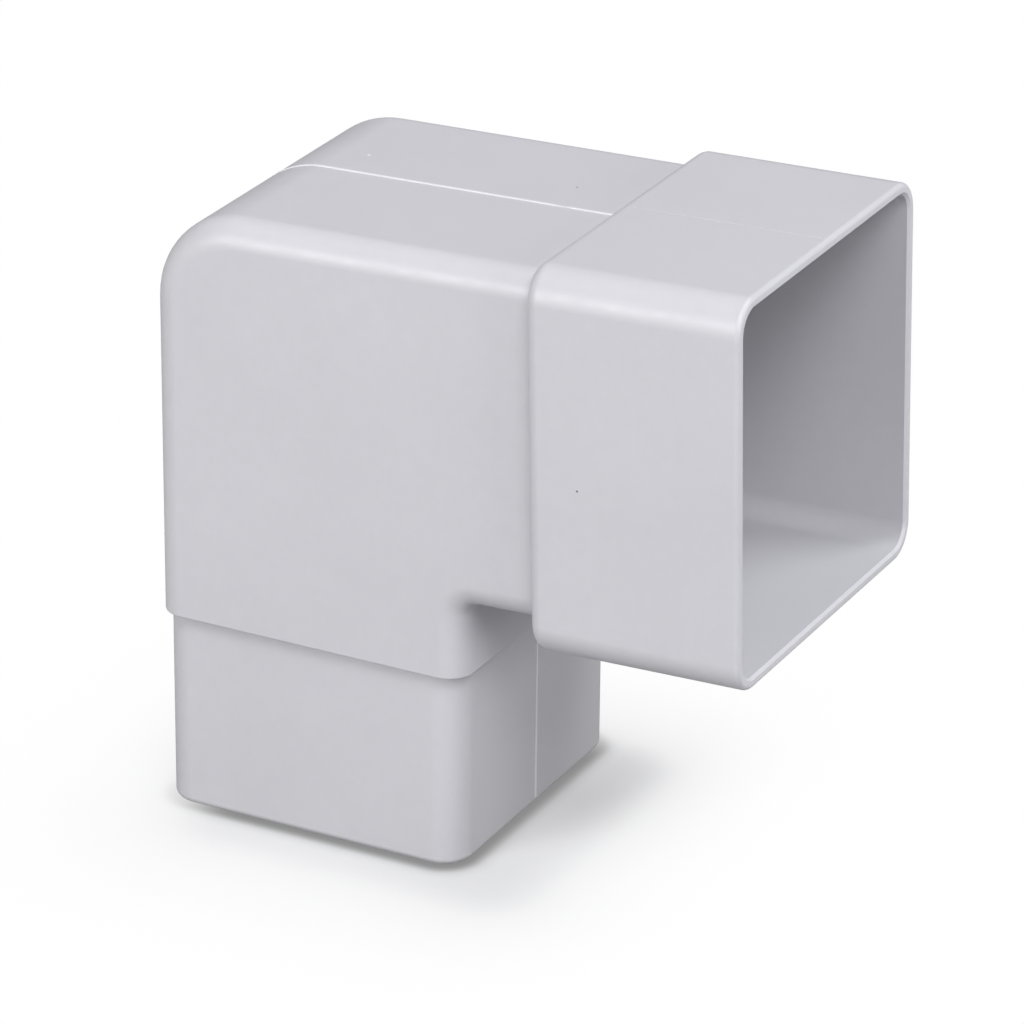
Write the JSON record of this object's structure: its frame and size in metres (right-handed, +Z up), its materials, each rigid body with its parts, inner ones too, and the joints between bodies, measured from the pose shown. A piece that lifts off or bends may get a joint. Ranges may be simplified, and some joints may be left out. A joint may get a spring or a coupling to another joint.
{
  "type": "downspout elbow",
  "caption": "Square moulded rainwater downspout elbow, turning a pipe through a near right angle, with a plain spigot on one leg and a wider push-fit socket on the other.",
  "frame": {"origin": "middle of the spigot's foot, on the spigot axis, where the elbow stands", "axes": "+Z up the spigot axis into the chamber, +X towards the socket, Y across the elbow"},
  "size_m": [0.1408, 0.086, 0.1451],
  "materials": {
    "upvc": "satin moulded light grey"
  },
  "bodies": {
    "root": {"elbow": "upvc"}
  },
  "joints": []
}
